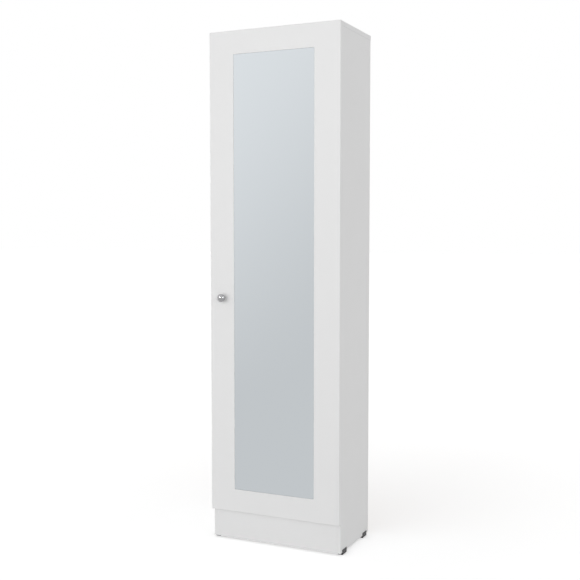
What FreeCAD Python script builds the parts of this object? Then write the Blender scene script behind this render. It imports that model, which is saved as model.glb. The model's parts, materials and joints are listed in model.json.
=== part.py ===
import FreeCAD, Part
import math
import os
import re
import Sketcher

# A tall broom cupboard in coated board, with one mirrored door on cup hinges.
# Millimetres, +X to the right, +Y to the back, +Z up, origin under the middle of the whole box.

# Driving sizes in millimetres. Names that end in count or share have no unit.
SIZES = {
    "board": 15,
    "board_ease": 0.5,
    "carcass_wide": 483,
    "side_deep": 264,
    "side_high": 1745,
    "plinth_high": 104,
    "upper_clear": 261,
    "shelf_setback": 20,
    "back_thick": 3,
    "back_inset": 4,
    "strip_wall": 0.8,
    "strip_web": 1.2,
    "strip_lap": 10,
    "strip_end_gap": 0.5,
    "door_lap": 1.5,
    "door_drop": 4,
    "door_thick": 15,
    "door_gap": 2,
    "edge_round": 2,
    "mirror_side": 93,
    "mirror_end": 80,
    "mirror_thick": 3,
    "mirror_bevel": 0.6,
    "mirror_play": 0.3,
    "tape_thick": 1,
    "tape_wide": 24,
    "tape_inset": 40,
    "tape_edge": 30,
    "knob_in": 50.5,
    "knob_up": 750,
    "knob_reach": 31,
    "knob_radius": 14,
    "knob_foot_radius": 7.5,
    "knob_foot_thick": 1.5,
    "knob_neck_radius": 5.5,
    "knob_thread_deep": 11,
    "knob_screw_radius": 2,
    "knob_head_radius": 4.2,
    "knob_head_high": 2.4,
    "bumper_radius": 4.5,
    "bumper_thick": 1.7,
    "bumper_end": 60,
    "foot_base": 7.5,
    "foot_long": 36,
    "foot_wall": 2.2,
    "foot_lip": 10,
    "foot_taper": 1.5,
    "foot_round": 1.6,
    "foot_front_gap": 0.5,
    "foot_rear_in": 20,
    "foot_nail_pitch": 24,
    "foot_nail_radius": 1.1,
    "foot_nail_long": 20,
    "foot_nail_head_radius": 2.6,
    "foot_nail_head_thick": 1,
    "foot_bore_deep": 3,
    "join_in": 40,
    "cam_radius": 7.5,
    "cam_deep": 12,
    "cam_reach": 34,
    "cam_slot_wide": 1.6,
    "cam_slot_deep": 2,
    "cam_past": 1.5,
    "bolt_radius": 3,
    "bolt_neck_radius": 2,
    "bolt_neck_long": 3,
    "bolt_head_long": 3,
    "bolt_thread_radius": 2.5,
    "bolt_thread_deep": 11,
    "dowel_radius": 4,
    "dowel_long": 30,
    "dowel_deep": 9,
    "dowel_chamfer": 1,
    "cover_radius": 9,
    "cover_thick": 1.2,
    "nail_radius": 0.7,
    "nail_long": 18,
    "nail_head_radius": 2,
    "nail_head_thick": 0.6,
    "nail_end_gap": 30,
    "hinge_end": 100,
    "cup_radius": 17.5,
    "cup_wall": 0.8,
    "cup_deep": 11.25,
    "cup_margin": 2.5,
    "flange_thick": 0.9,
    "flange_lip": 2.5,
    "flange_trim": 3,
    "ear_radius": 6,
    "ear_out": 24,
    "ear_back": 6,
    "pin_edge": 6.5,
    "pin_deep": 8.5,
    "pin_radius": 1.25,
    "pin_play": 0.08,
    "pin_grip": 0.02,
    "eye_radius": 2.1,
    "lug_gap": 5.4,
    "lug_thick": 1.2,
    "lug_reach": 2.4,
    "lug_edge": 1.9,
    "spring_wide": 7,
    "spring_thick": 0.5,
    "spring_rise": 0.5,
    "spring_half": 7,
    "arm_thick": 2.4,
    "arm_wide": 10,
    "arm_offset": 6,
    "elbow_radius": 4,
    "arm_end": 62,
    "arm_cheek": 1.1,
    "arm_cheek_start": 12,
    "arm_cheek_gap": 2,
    "arm_screw_front": 22,
    "arm_screw_rear": 50,
    "arm_screw_radius": 2,
    "arm_screw_head_radius": 3.6,
    "arm_screw_head_high": 2,
    "plate_front": 14,
    "plate_play": 0.3,
    "wing_thick": 1.5,
    "wing_radius": 6,
    "wing_y": 36,
    "plate_screw_out": 16,
    "screw_radius": 1.75,
    "screw_tip": 3,
    "screw_head_radius": 3.3,
    "screw_head_high": 1.5,
    "screw_long": 12.5,
    "seat": 0.1,
    "hole_play": 0.8,
    "overrun": 1,
    "crown_share": 0.6,
    "cut_share": 0.5,
    "hinge_count": 4,
    "nail_count": 6,
    "rail_nail_count": 3,
    "tape_count": 3,
}

# Places worked out from the sizes, written with the names above.
PLACES = {
    "inner_half": "carcass_wide / 2 - board",
    "inner_wide": "2 * inner_half",
    "side_mid": "carcass_wide / 2 - board / 2",
    "door_wide": "carcass_wide + 2 * door_lap",
    "door_half": "door_wide / 2",
    "reach_front": "door_gap + door_thick + knob_reach",
    "reach_back": "side_deep + back_thick + seat + strip_wall",
    "carcass_y": "(reach_front - reach_back) / 2",
    "rear_y": "carcass_y + side_deep",
    "door_back_y": "carcass_y - door_gap",
    "door_front_y": "door_back_y - door_thick",
    "top_z": "foot_base + side_high",
    "full_high": "top_z + board",
    "bottom_z": "foot_base + plinth_high",
    "door_z": "bottom_z - door_drop",
    "door_high": "full_high - door_z",
    "shelf_z": "top_z - upper_clear - board",
    "strip_z": "(bottom_z + top_z) / 2",
    "sheet_wide": "carcass_wide - 2 * back_inset",
    "sheet_high": "(top_z - bottom_z - strip_web) / 2 - seat",
    "mirror_wide": "door_wide - 2 * mirror_side",
    "mirror_high": "door_high - 2 * mirror_end",
    "mirror_z": "door_z + mirror_end",
    "mirror_back_y": "door_front_y + mirror_thick",
    "mirror_bed": "mirror_thick + tape_thick",
    "bed_side": "mirror_side - mirror_play",
    "bed_end": "mirror_end - mirror_play",
    "tape_pitch": "(mirror_wide - 2 * tape_edge - tape_wide) / (tape_count - 1)",
    "hinge_pitch": "(door_high - 2 * hinge_end) / (hinge_count - 1)",
    "cup_x": "door_half - cup_margin - cup_radius",
    "cup_bore": "cup_radius + seat",
    "cup_inner": "cup_radius - cup_wall",
    "pin_in_cup": "cup_margin + cup_radius - pin_edge",
    "pin_x": "door_half - pin_edge",
    "pin_y": "door_back_y - pin_deep",
    "pin_half": "lug_gap + lug_thick",
    "arm_pin_x": "pin_x - inner_half",
    "arm_pin_y": "pin_y - carcass_y",
    "elbow_x": "elbow_radius - arm_offset",
    "elbow_y": "arm_pin_y + elbow_radius",
    "arm_back_x": "-arm_offset",
    "plate_high": "arm_offset - arm_thick / 2",
    "plate_half": "arm_wide / 2 - arm_cheek - plate_play",
    "spring_radius": "(spring_half * spring_half + spring_rise * spring_rise) / (2 * spring_rise)",
    "side_nail_pitch": "(sheet_high - 2 * nail_end_gap) / (nail_count - 1)",
    "rail_nail_pitch": "(inner_wide - 2 * nail_end_gap) / (rail_nail_count - 1)",
    "foot_half": "board / 2 + seat",
    "foot_outer": "foot_half + foot_wall",
    "foot_front_y": "board + foot_front_gap",
    "foot_rear_y": "side_deep - foot_rear_in - foot_long",
}

LEFT = FreeCAD.Vector(-1, 0, 0)
RIGHT = FreeCAD.Vector(1, 0, 0)
FORWARD = FreeCAD.Vector(0, -1, 0)
BACKWARD = FreeCAD.Vector(0, 1, 0)
UP = FreeCAD.Vector(0, 0, 1)
DOWN = FreeCAD.Vector(0, 0, -1)

doc = FreeCAD.newDocument("broom_cupboard")
nodes = []


def formula(text, inside_places=False):
    """Points each name in a formula at its cell."""
    def cell(match):
        word = match.group()
        if word in SIZES:
            return "Sizes." + word
        if word in PLACES and not inside_places:
            return "Places." + word
        return word
    return re.sub(r"[a-z][a-z_]*", cell, text)


def write_sheets():
    """Writes the driving sizes as numbers, and the places as formulas on them."""
    sizes = doc.addObject("Spreadsheet::Sheet", "Sizes")
    for row, (name, number) in enumerate(SIZES.items(), start=1):
        sizes.set(f"A{row}", name)
        sizes.set(f"B{row}", str(number))
        sizes.setAlias(f"B{row}", name)
    doc.recompute()
    places = doc.addObject("Spreadsheet::Sheet", "Places")
    for row, (name, text) in enumerate(PLACES.items(), start=1):
        places.set(f"A{row}", name)
        places.set(f"B{row}", "=" + formula(text, inside_places=True))
        places.setAlias(f"B{row}", name)
    doc.recompute()
    return sizes, places


def value(name):
    """The number in a named cell."""
    return getattr(sizes if name in SIZES else places, name)


def bind(thing, formulas):
    """Ties properties of an object to formulas on the sheets."""
    for name, text in formulas.items():
        thing.setExpression(name, formula(text))


def place(thing, x, y, z):
    bind(thing, {"Placement.Base.x": x, "Placement.Base.y": y, "Placement.Base.z": z})


def new_body(label):
    body = doc.addObject("PartDesign::Body", label)
    body.Label = label
    return body


def keep(thing):
    """Marks an object as a piece of the cupboard."""
    nodes.append(thing)
    return thing


class Drawing:
    """A sketch square to one axis of its own body, and the features made from it."""

    PLANES = {"X": ("YZ_Plane", 1), "Y": ("XZ_Plane", -1), "Z": ("XY_Plane", 1)}

    def __init__(self, body, axis, at="0"):
        role, self.facing = self.PLANES[axis]
        self.body = body
        self.sketch = body.newObject("Sketcher::SketchObject", body.Label + "_drawing")
        plane = next(feature for feature in body.Origin.OriginFeatures if feature.Role == role)
        self.sketch.AttachmentSupport = (plane, [""])
        self.sketch.MapMode = "FlatFace"
        offset = at if self.facing > 0 else f"-({at})"
        bind(self.sketch, {"AttachmentOffset.Base.z": offset})

    def fix(self, kind, text, *ends, start=1.0):
        """Adds one measured constraint and ties it to a formula."""
        index = self.sketch.addConstraint(Sketcher.Constraint(kind, *ends, start))
        bind(self.sketch, {f"Constraints[{index}]": text})

    def fix_point(self, geometry, point, across, up, start=(1.0, 1.0)):
        self.fix("DistanceX", across, -1, 1, geometry, point, start=start[0])
        self.fix("DistanceY", up, -1, 1, geometry, point, start=start[1])

    def outline(self, points):
        """A closed run of straight edges through the given points."""
        corners = [FreeCAD.Vector(index, index * index, 0) for index in range(len(points))]
        first = self.sketch.GeometryCount
        for index, corner in enumerate(corners):
            following = corners[(index + 1) % len(corners)]
            self.sketch.addGeometry(Part.LineSegment(corner, following))
        for index, (across, up) in enumerate(points):
            before = first + (index - 1) % len(points)
            self.sketch.addConstraint(Sketcher.Constraint("Coincident", before, 2, first + index, 1))
            self.fix_point(first + index, 1, across, up)
        return self

    def rectangle(self, left, low, right, high):
        return self.outline([(left, low), (right, low), (right, high), (left, high)])

    def circle(self, across, up, radius):
        circle = self.sketch.addGeometry(Part.Circle(FreeCAD.Vector(), UP, 1.0))
        self.fix_point(circle, 3, across, up)
        self.fix("Radius", radius, circle)
        return self

    def bend(self, start_x, start_y, centre_x, centre_y, end_x, end_y):
        """An open path: straight, a quarter turn about the centre, and straight on square to the start."""
        centre = FreeCAD.Vector(value(centre_x), value(centre_y), 0)
        low = FreeCAD.Vector(centre.x, value(start_y), 0)
        side = FreeCAD.Vector(value(end_x), centre.y, 0)
        start = FreeCAD.Vector(value(start_x), low.y, 0)
        end = FreeCAD.Vector(side.x, value(end_y), 0)
        circle = Part.Circle(centre, UP, centre.distanceToPoint(low))
        first = self.sketch.addGeometry(Part.LineSegment(start, low))
        turn = self.sketch.addGeometry(Part.ArcOfCircle(circle, math.pi, math.pi * 3 / 2))
        last = self.sketch.addGeometry(Part.LineSegment(side, end))
        self.sketch.addConstraint(Sketcher.Constraint("Coincident", first, 2, turn, 2))
        self.sketch.addConstraint(Sketcher.Constraint("Coincident", turn, 1, last, 1))
        self.fix_point(first, 1, start_x, start_y, start)
        self.fix_point(first, 2, centre_x, start_y, low)
        self.fix_point(last, 1, end_x, centre_y, side)
        self.fix_point(last, 2, end_x, end_y, end)
        self.fix("DistanceX", centre_x, -1, 1, turn, 3, start=centre.x)
        return self

    def feature(self, kind, toward, length, default):
        """Adds a pad or pocket towards one end of the axis, and checks what it did to the volume."""
        doc.recompute()
        before = self.body.Shape.Volume if self.body.Tip else 0
        made = self.body.newObject("PartDesign::" + kind, f"{self.body.Label}_{kind.lower()}")
        made.Profile = self.sketch
        made.Reversed = toward * self.facing != default
        bind(made, {"Length": length})
        doc.recompute()
        gained = self.body.Shape.Volume - before
        if gained * default <= 0:
            raise ValueError(f"{made.Label} left the volume as it was")
        return made

    def pad(self, toward, length):
        return self.feature("Pad", toward, length, 1)

    def pocket(self, toward, depth):
        return self.feature("Pocket", toward, depth, -1)

    def revolve(self):
        made = self.body.newObject("PartDesign::Revolution", self.body.Label + "_turning")
        made.Profile = self.sketch
        made.ReferenceAxis = (self.sketch, ["V_Axis"])
        doc.recompute()
        return made


def turned_body(label, section):
    """A piece turned about its own Z axis from half of its section."""
    body = new_body(label)
    Drawing(body, "Y").outline(section).revolve()
    return body


def group(label, master, spots):
    """Copies of one piece at the given places, its lower end turned to the given direction."""
    links = []
    for x, y, z, direction in spots:
        link = doc.addObject("App::Link", label + "_copy")
        link.LinkedObject = master
        link.Placement.Rotation = FreeCAD.Rotation(DOWN, direction)
        place(link, x, y, z)
        links.append(link)
    together = doc.addObject("Part::Compound", label)
    together.Label = label
    together.Links = links
    return keep(together)


def screw_section(radius, length, head_radius, head_high):
    """Half the section of a pan-head screw, seat at zero and point below."""
    return [
        ("0", head_high),
        (f"{head_radius} * crown_share", head_high),
        (head_radius, f"{head_high} * cut_share"),
        (head_radius, "0"),
        (radius, "0"),
        (radius, f"screw_tip - ({length})"),
        ("0", f"-({length})"),
    ]


def nail_section(radius, length, head_radius, head_thick):
    return [
        ("0", head_thick),
        (head_radius, head_thick),
        (head_radius, "0"),
        (radius, "0"),
        (radius, f"-{length}"),
        ("0", f"-{length}"),
    ]


def board_body(label, size, corner):
    """A rectangular board with its low front left corner at the given place."""
    body = new_body(label)
    wide, deep, high = size
    Drawing(body, "Z").rectangle("0", "0", wide, deep).pad(1, high)
    place(body, *corner)
    return keep(body)


def edge_names(shape, test):
    return [f"Edge{index}" for index, edge in enumerate(shape.Edges, start=1) if test(edge)]


def round_edges(body, kind, size_name, size, test):
    """Fillets or chamfers the edges of the last feature that pass a test."""
    base = body.Tip
    made = body.newObject("PartDesign::" + kind, f"{body.Label}_{kind.lower()}")
    made.Base = (base, edge_names(base.Shape, test))
    bind(made, {size_name: size})
    doc.recompute()


def eased_board(label, size, corner):
    """A board of the carcass, with all its edges eased."""
    body = board_body(label, size, corner)
    round_edges(body, "Chamfer", "Size", "board_ease", lambda edge: True)
    return body


def holes(body, axis, at, toward, depth, radius, spots):
    """Round holes of one size, bored side by side."""
    drawing = Drawing(body, axis, at)
    for across, up in spots:
        drawing.circle(across, up, radius)
    drawing.pocket(toward, depth)


def hinge_z(index):
    return f"door_z + hinge_end + {index} * hinge_pitch"


HINGES = range(SIZES["hinge_count"])
JOIN_YS = ("join_in", "side_deep - join_in")
DOWEL_Y = "side_deep / 2"
BOLT_HOLE = "bolt_radius + seat"
THREAD_HOLE = "bolt_thread_radius + seat"
THREAD_DEPTH = "bolt_thread_deep + hole_play"
DOWEL_HOLE = "dowel_radius + seat"
DOWEL_SHALLOW = "dowel_deep + hole_play"
DOWEL_REST = "dowel_long - dowel_deep + hole_play"
CAM_HOLE = "cam_radius + seat"
CAM_DEPTH = "cam_deep + seat"
SCREW_HOLE = "screw_radius + seat"
RAIL_HEIGHTS = {"bottom": "plinth_high + board / 2", "shelf": "shelf_z - foot_base + board / 2"}
PLINTH_MID = "plinth_high / 2"


def side_panel(side, sign):
    """A side board, drilled on its inner face and its top edge."""
    corner_x = "-carcass_wide / 2" if sign < 0 else "inner_half"
    face = "board" if sign < 0 else "0"
    size = ("board", "side_deep", "side_high")
    panel = eased_board(side + "_side_panel", size, (corner_x, "carcass_y", "foot_base"))
    bolts = [(y, z) for z in RAIL_HEIGHTS.values() for y in JOIN_YS] + [("board / 2", PLINTH_MID)]
    holes(panel, "X", face, sign, THREAD_DEPTH, THREAD_HOLE, bolts)
    holes(panel, "X", face, sign, DOWEL_SHALLOW, DOWEL_HOLE, [(DOWEL_Y, z) for z in RAIL_HEIGHTS.values()])
    cams = [(y, "side_high - cam_reach") for y in JOIN_YS]
    holes(panel, "X", face, sign, CAM_DEPTH, CAM_HOLE, cams)
    holes(panel, "Z", "side_high", -1, "cam_reach", BOLT_HOLE, [("board / 2", y) for y in JOIN_YS])
    holes(panel, "Z", "side_high", -1, DOWEL_REST, DOWEL_HOLE, [("board / 2", DOWEL_Y)])
    return panel


def rail(label, size, corner, face, end_spots, dowel_spots, cam_axis, cam_spots):
    """A board between the sides: cams sunk in one face, bolts and dowels in both ends."""
    body = eased_board(label, size, corner)
    at, toward = face
    holes(body, cam_axis, at, toward, CAM_DEPTH, CAM_HOLE, cam_spots)
    for end, inward in (("0", 1), ("inner_wide", -1)):
        holes(body, "X", end, inward, "cam_reach", BOLT_HOLE, end_spots)
        if dowel_spots:
            holes(body, "X", end, inward, DOWEL_REST, DOWEL_HOLE, dowel_spots)
    return body


def carcass():
    for side, sign in (("left", -1), ("right", 1)):
        panel = side_panel(side, sign)
    screws = []
    for index in HINGES:
        for up in ("-", "+"):
            screws.append(("wing_y", f"{hinge_z(index)} - foot_base {up} plate_screw_out"))
    holes(panel, "X", "0", 1, "screw_long - wing_thick + hole_play", SCREW_HOLE, screws)
    top = eased_board(
        "top_panel",
        ("carcass_wide", "side_deep + back_thick", "board"),
        ("-carcass_wide / 2", "carcass_y", "top_z"),
    )
    ends = ("board / 2", "carcass_wide - board / 2")
    holes(top, "Z", "0", 1, THREAD_DEPTH, THREAD_HOLE, [(x, y) for x in ends for y in JOIN_YS])
    holes(top, "Z", "0", 1, DOWEL_SHALLOW, DOWEL_HOLE, [(x, DOWEL_Y) for x in ends])
    levels = (("bottom_panel", "0", "bottom_z"), ("upper_shelf", "shelf_setback", "shelf_z"))
    for label, setback, z in levels:
        spots = [f"{y} - {setback}" for y in JOIN_YS]
        rail(
            label,
            ("inner_wide", f"side_deep - {setback}", "board"),
            ("-inner_half", f"carcass_y + {setback}", z),
            ("0", 1),
            [(y, "board / 2") for y in spots],
            [(f"{DOWEL_Y} - {setback}", "board / 2")],
            "Z",
            [(x, y) for x in ("cam_reach", "inner_wide - cam_reach") for y in spots],
        )
    rail(
        "plinth",
        ("inner_wide", "board", "plinth_high"),
        ("-inner_half", "carcass_y", "foot_base"),
        ("board", -1),
        [("board / 2", PLINTH_MID)],
        [],
        "Y",
        [(x, PLINTH_MID) for x in ("cam_reach", "inner_wide - cam_reach")],
    )


def back():
    """Two thin sheets behind the sides, with an H-shaped plastic strip between them."""
    for label, z in (("back_panel_lower", "bottom_z"), ("back_panel_upper", "top_z - sheet_high")):
        board_body(label, ("sheet_wide", "back_thick", "sheet_high"), ("-sheet_wide / 2", "rear_y", z))
    strip = new_body("back_joint_strip")
    front, rear = "-seat", "back_thick + seat"
    half_web = "strip_web / 2"
    Drawing(strip, "X").outline([
        (f"{front} - strip_wall", "-strip_lap"),
        (front, "-strip_lap"),
        (front, f"-{half_web}"),
        (rear, f"-{half_web}"),
        (rear, "-strip_lap"),
        (f"{rear} + strip_wall", "-strip_lap"),
        (f"{rear} + strip_wall", "strip_lap"),
        (rear, "strip_lap"),
        (rear, half_web),
        (front, half_web),
        (front, "strip_lap"),
        (f"{front} - strip_wall", "strip_lap"),
    ]).pad(1, "inner_wide - 2 * strip_end_gap")
    place(strip, "strip_end_gap - inner_half", "rear_y", "strip_z")
    keep(strip)
    nail = turned_body(
        "back_nail", nail_section("nail_radius", "nail_long", "nail_head_radius", "nail_head_thick"))
    spots = []
    for sheet_z in ("bottom_z", "top_z - sheet_high"):
        for index in range(SIZES["nail_count"]):
            z = f"{sheet_z} + nail_end_gap + {index} * side_nail_pitch"
            spots += [(x, "rear_y + back_thick", z, FORWARD) for x in ("-side_mid", "side_mid")]
    for rail_z in ("bottom_z", "shelf_z"):
        for index in range(SIZES["rail_nail_count"]):
            x = f"nail_end_gap - inner_half + {index} * rail_nail_pitch"
            spots.append((x, "rear_y + back_thick", f"{rail_z} + board / 2", FORWARD))
    group("back_nails", nail, spots)


def connectors():
    """Cam locks with their bolts, dowels and covers."""
    cam = turned_body(
        "cam", [("0", "0"), ("cam_radius", "0"), ("cam_radius", "-cam_deep"), ("0", "-cam_deep")])
    mouth = Drawing(cam, "X", "cam_radius + overrun").circle("0", "-board / 2", "bolt_radius + seat")
    mouth.pocket(-1, "cam_radius + overrun + cam_past")
    slot = Drawing(cam, "Z").rectangle(
        "-cam_radius * crown_share", "-cam_slot_wide / 2", "cam_radius * crown_share", "cam_slot_wide / 2")
    slot.pocket(-1, "cam_slot_deep")
    bolt = turned_body("bolt", [
        ("0", "cam_reach"),
        ("bolt_radius", "cam_reach"),
        ("bolt_radius", "cam_reach - bolt_head_long"),
        ("bolt_neck_radius", "cam_reach - bolt_head_long"),
        ("bolt_neck_radius", "cam_reach - bolt_head_long - bolt_neck_long"),
        ("bolt_radius", "cam_reach - bolt_head_long - bolt_neck_long"),
        ("bolt_radius", "0"),
        ("bolt_thread_radius", "0"),
        ("bolt_thread_radius", "-bolt_thread_deep"),
        ("0", "-bolt_thread_deep"),
    ])
    dowel = turned_body("dowel", [
        ("0", "dowel_long - dowel_deep"),
        ("dowel_radius - dowel_chamfer", "dowel_long - dowel_deep"),
        ("dowel_radius", "dowel_long - dowel_deep - dowel_chamfer"),
        ("dowel_radius", "dowel_chamfer - dowel_deep"),
        ("dowel_radius - dowel_chamfer", "-dowel_deep"),
        ("0", "-dowel_deep"),
    ])
    cover = turned_body("cover", [
        ("0", "cover_thick"),
        ("cover_radius - cover_thick", "cover_thick"),
        ("cover_radius", "cover_thick * cut_share"),
        ("cover_radius", "0"),
        ("0", "0"),
    ])
    cams, bolts, dowels, covers = [], [], [], []
    for sign, outward in (("-", LEFT), ("", RIGHT)):
        face, cam_x = f"{sign}inner_half", f"{sign}(inner_half - cam_reach)"
        for z in ("bottom_z", "shelf_z"):
            dowels.append((face, f"carcass_y + {DOWEL_Y}", f"{z} + board / 2", outward))
            for y in JOIN_YS:
                bolts.append((face, f"carcass_y + {y}", f"{z} + board / 2", outward))
                cams.append((cam_x, f"carcass_y + {y}", z, DOWN, outward))
                if z == "shelf_z":
                    covers.append((cam_x, f"carcass_y + {y}", z, UP))
        plinth_z = f"foot_base + {PLINTH_MID}"
        bolts.append((face, "carcass_y + board / 2", plinth_z, outward))
        cams.append((cam_x, "carcass_y + board", plinth_z, BACKWARD, outward))
        dowels.append((f"{sign}side_mid", f"carcass_y + {DOWEL_Y}", "top_z", UP))
        for y in JOIN_YS:
            bolts.append((f"{sign}side_mid", f"carcass_y + {y}", "top_z", UP))
            cams.append((face, f"carcass_y + {y}", "top_z - cam_reach", -outward, UP))
            covers.append((face, f"carcass_y + {y}", "top_z - cam_reach", outward))
    locks = group("cam_locks", cam, [(x, y, z, DOWN) for x, y, z, face, mouth in cams])
    for link, (x, y, z, face, mouth) in zip(locks.Links, cams):
        link.Placement.Rotation = FreeCAD.Rotation(mouth, face.cross(mouth), face, "ZXY")
    group("cam_bolts", bolt, bolts)
    group("dowels", dowel, dowels)
    group("cam_covers", cover, covers)


def foot(label, x, y):
    """A plastic shoe pushed on the lower edge of a side board, nailed from below."""
    body = new_body(label)
    Drawing(body, "Y").outline([
        ("foot_taper - foot_outer", "0"),
        ("foot_outer - foot_taper", "0"),
        ("foot_outer", "foot_taper"),
        ("foot_outer", "foot_base + foot_lip"),
        ("foot_half", "foot_base + foot_lip"),
        ("foot_half", "foot_base"),
        ("-foot_half", "foot_base"),
        ("-foot_half", "foot_base + foot_lip"),
        ("-foot_outer", "foot_base + foot_lip"),
        ("-foot_outer", "foot_taper"),
    ]).pad(1, "foot_long")

    def upright_outside(edge):
        box = edge.BoundBox
        wall_middle = (places.foot_half + places.foot_outer) / 2
        return box.ZLength > places.foot_half and abs(box.Center.x) > wall_middle

    round_edges(body, "Fillet", "Radius", "foot_round", upright_outside)
    nails = [("0", f"foot_long / 2 {side} foot_nail_pitch / 2") for side in ("-", "+")]
    holes(body, "Z", "0", 1, "foot_base + overrun", "foot_nail_radius + seat", nails)
    holes(body, "Z", "0", 1, "foot_bore_deep", "foot_nail_head_radius + seat", nails)
    place(body, x, y, "0")
    return keep(body)


def feet():
    nail = turned_body("foot_nail", nail_section(
        "foot_nail_radius", "foot_nail_long", "foot_nail_head_radius", "foot_nail_head_thick"))
    spots = []
    for along, start in (("front", "foot_front_y"), ("rear", "foot_rear_y")):
        for side, x in (("left", "-side_mid"), ("right", "side_mid")):
            foot(f"foot_{along}_{side}", x, f"carcass_y + {start}")
            for way in ("-", "+"):
                y = f"carcass_y + {start} + foot_long / 2 {way} foot_nail_pitch / 2"
                spots.append((x, y, "foot_bore_deep", UP))
    group("foot_nails", nail, spots)


def door_panel():
    """The door board, with rounded edges, a shallow bed for the mirror, cup bores and screw holes."""
    door = board_body(
        "door_panel", ("door_wide", "door_thick", "door_high"), ("-door_half", "door_front_y", "door_z"))
    round_edges(door, "Fillet", "Radius", "edge_round", lambda edge: True)
    bed = Drawing(door, "Y").rectangle("bed_side", "bed_end", "door_wide - bed_side", "door_high - bed_end")
    bed.pocket(1, "mirror_bed")
    cups = [("door_half + cup_x", f"{hinge_z(index)} - door_z") for index in HINGES]
    holes(door, "Y", "door_thick", -1, "cup_deep + cup_wall + seat", "cup_bore", cups)
    screws = [(f"{x} - ear_back", f"{z} {way} ear_out") for x, z in cups for way in ("-", "+")]
    holes(door, "Y", "door_thick", -1, "screw_long - flange_thick + hole_play", SCREW_HOLE, screws)
    knob_hole = [("knob_in", "knob_up")]
    holes(door, "Y", "door_thick", -1, "door_thick + overrun", "knob_screw_radius + seat", knob_hole)


def mirror():
    """The glass, with a narrow polished bevel round its front, let into the door on strips of tape."""
    glass = board_body(
        "mirror",
        ("mirror_wide", "mirror_thick", "mirror_high"),
        ("-mirror_wide / 2", "mirror_back_y - mirror_thick", "mirror_z"),
    )
    round_edges(glass, "Chamfer", "Size", "mirror_bevel", lambda edge: edge.BoundBox.YMax <= 0.0)
    strips = []
    for index in range(SIZES["tape_count"]):
        strip = doc.addObject("Part::Box", "tape_strip")
        long = "mirror_high - 2 * tape_inset"
        bind(strip, {"Length": "tape_wide", "Width": "tape_thick", "Height": long})
        left = f"tape_edge - mirror_wide / 2 + {index} * tape_pitch"
        place(strip, left, "mirror_back_y", "mirror_z + tape_inset")
        strips.append(strip)
    tape = doc.addObject("Part::Compound", "mirror_tape")
    tape.Links = strips
    keep(tape)


def knob():
    """A ball on a short neck with a round foot, held by a screw from the back of the door."""
    foot_disc = doc.addObject("Part::Cone", "knob_foot")
    radii = {"Radius1": "knob_foot_radius", "Radius2": "knob_neck_radius"}
    bind(foot_disc, {**radii, "Height": "knob_foot_thick"})
    neck = doc.addObject("Part::Cylinder", "knob_neck")
    bind(neck, {"Radius": "knob_neck_radius", "Height": "knob_reach - knob_radius"})
    ball = doc.addObject("Part::Sphere", "knob_ball")
    bind(ball, {"Radius": "knob_radius"})
    place(ball, "0", "0", "knob_reach - knob_radius")
    whole = doc.addObject("Part::MultiFuse", "knob_whole")
    whole.Shapes = [foot_disc, neck, ball]
    bore = doc.addObject("Part::Cylinder", "knob_bore")
    bind(bore, {"Radius": "knob_screw_radius + seat", "Height": "knob_thread_deep + hole_play + overrun"})
    place(bore, "0", "0", "-overrun")
    drilled = doc.addObject("Part::Cut", "knob")
    drilled.Base = whole
    drilled.Tool = bore
    drilled.Placement.Rotation = FreeCAD.Rotation(UP, FORWARD)
    place(drilled, "knob_in - door_half", "door_front_y", "door_z + knob_up")
    keep(drilled)
    length = "door_thick + knob_thread_deep"
    screw = turned_body(
        "knob_bolt", screw_section("knob_screw_radius", length, "knob_head_radius", "knob_head_high"))
    group("knob_screw", screw, [("knob_in - door_half", "door_back_y", "door_z + knob_up", FORWARD)])


def bumpers():
    """Two soft dots on the back of the door that meet the edge of the left side."""
    dot = turned_body("bumper", [
        ("0", "bumper_thick"),
        ("bumper_radius * crown_share", "bumper_thick"),
        ("bumper_radius", "bumper_thick * cut_share"),
        ("bumper_radius", "0"),
        ("0", "0"),
    ])
    heights = ("door_z + bumper_end", "full_high - bumper_end")
    group("door_bumpers", dot, [("-side_mid", "door_back_y", z, FORWARD) for z in heights])


def hinge_cup(index):
    """A pressed cup with a flange, two screw ears and two lugs that hold the pin."""
    body = new_body(f"hinge_cup_{index + 1}")
    Drawing(body, "Z").circle("0", "0", "cup_radius + flange_lip").pad(1, "flange_thick")
    strap = Drawing(body, "Z")
    strap.rectangle("-ear_back - ear_radius", "-ear_out", "ear_radius - ear_back", "ear_out")
    strap.pad(1, "flange_thick")
    ears = [("-ear_back", "-ear_out"), ("-ear_back", "ear_out")]
    ends = Drawing(body, "Z")
    for x, y in ears:
        ends.circle(x, y, "ear_radius")
    ends.pad(1, "flange_thick")
    cut_from, cut_to = "cup_radius + cup_margin - flange_trim", "cup_radius + flange_lip + overrun"
    trim = Drawing(body, "Z", "flange_thick").rectangle(cut_from, "-cup_radius", cut_to, "cup_radius")
    trim.pocket(-1, "flange_thick")
    Drawing(body, "Z").circle("0", "0", "cup_radius").pad(-1, "cup_deep + cup_wall")
    Drawing(body, "Z", "flange_thick").circle("0", "0", "cup_inner").pocket(-1, "cup_deep + flange_thick")
    for start in ("-pin_half", "lug_gap"):
        inner, outer = "pin_in_cup - lug_reach", "pin_in_cup + lug_edge"
        lug = Drawing(body, "Y", start)
        lug.rectangle(inner, "-cup_deep - cup_wall", outer, "lug_reach - pin_deep")
        lug.pad(1, "lug_thick")
    holes(body, "Y", "-pin_half", 1, "2 * pin_half", "pin_radius + pin_grip", [("pin_in_cup", "-pin_deep")])
    holes(body, "Z", "flange_thick", -1, "flange_thick", SCREW_HOLE, ears)
    body.Placement.Rotation = FreeCAD.Rotation(UP, BACKWARD)
    place(body, "cup_x", "door_back_y", hinge_z(index))
    return keep(body)


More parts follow.
